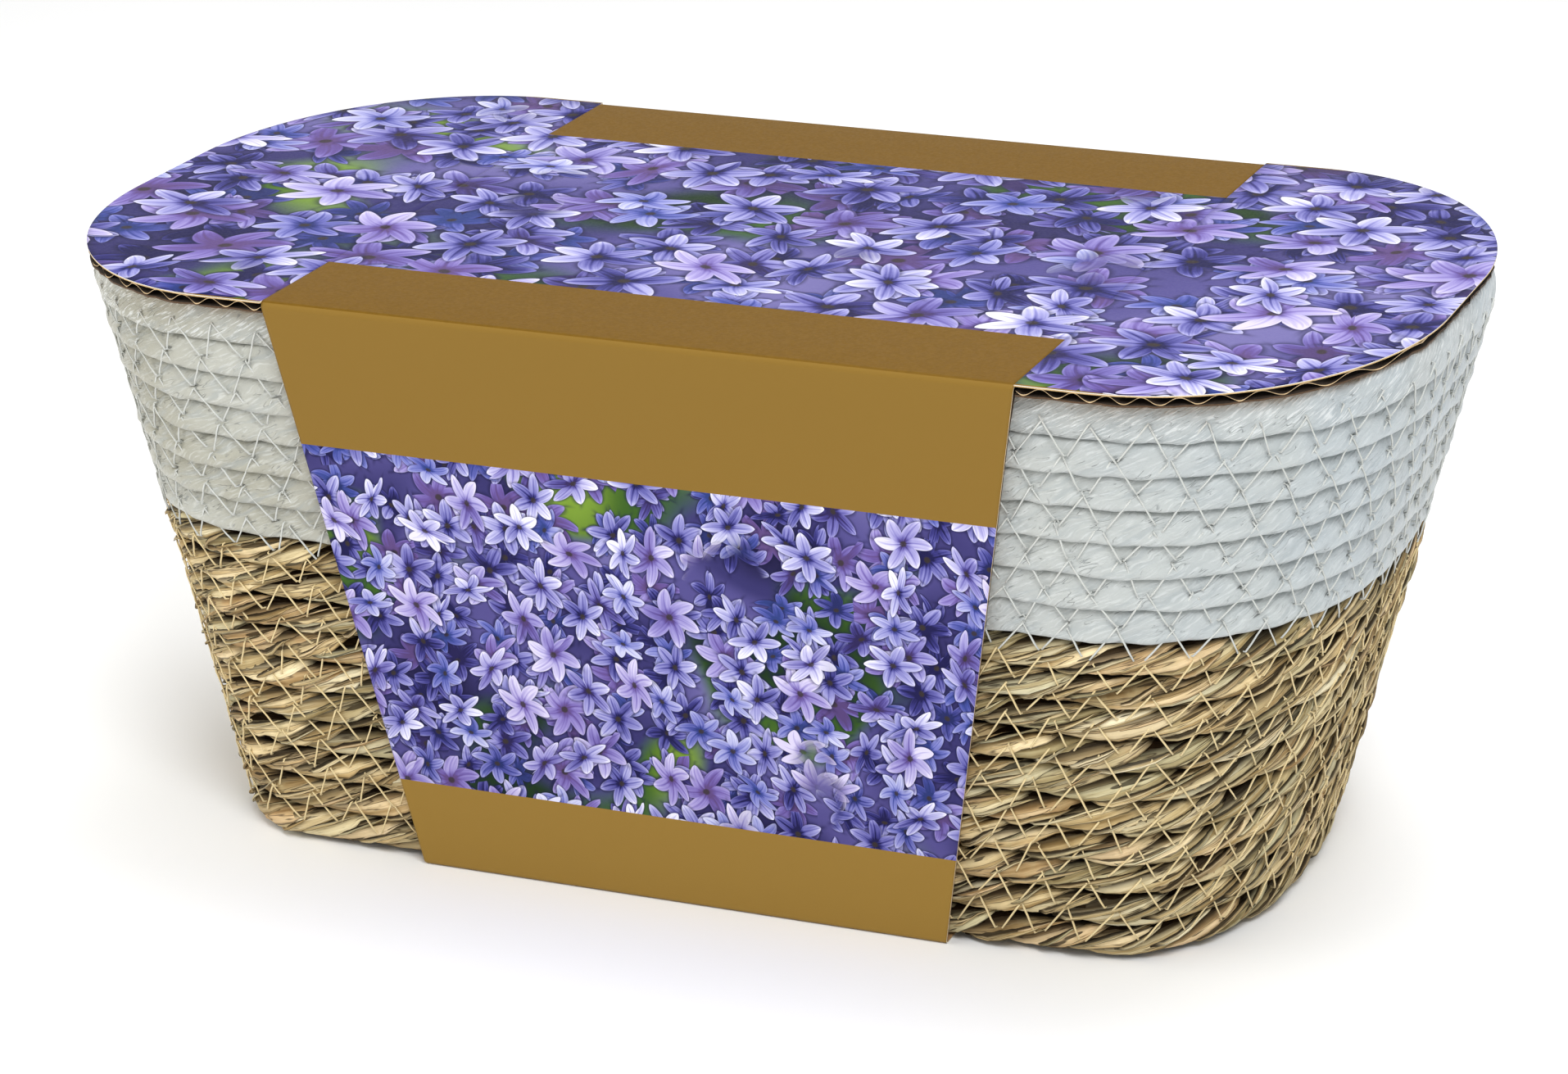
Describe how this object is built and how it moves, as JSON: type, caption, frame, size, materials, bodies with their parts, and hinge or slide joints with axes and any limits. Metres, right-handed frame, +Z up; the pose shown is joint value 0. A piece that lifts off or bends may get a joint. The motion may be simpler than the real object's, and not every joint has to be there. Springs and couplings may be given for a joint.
{
  "type": "boxed indoor bulb basket",
  "caption": "Oval coiled-rope basket, natural below and white above, closed by a printed corrugated card lid with side panels, holding liner, compost and bulbs.",
  "frame": {"origin": "middle of the underside, on the surface that the card strip under the basket rests on", "axes": "+Z up, +X along the basket's length, -Y towards the front panel"},
  "size_m": [0.2874, 0.168, 0.126],
  "materials": {
    "printed_card": "corrugated board with a satin laminated print in bronze and lilac, kraft brown at its cut edges",
    "natural_rope": "dry twisted seagrass, matt to satin, tan with brown and greenish strands",
    "white_rope": "twisted white paper, creased, satin",
    "liner_film": "thin black polythene film, slightly glossy",
    "compost": "loose dark fibrous potting compost",
    "bulb_tunic": "papery purple-brown bulb skin with lengthwise veins"
  },
  "bodies": {
    "root": {"card_wrap": "printed_card", "basket_natural_rope": "natural_rope", "basket_white_rope": "white_rope", "planting_liner": "liner_film", "compost_bed": "compost", "bulb_left": "bulb_tunic", "bulb_middle": "bulb_tunic", "bulb_right": "bulb_tunic"}
  },
  "joints": []
}
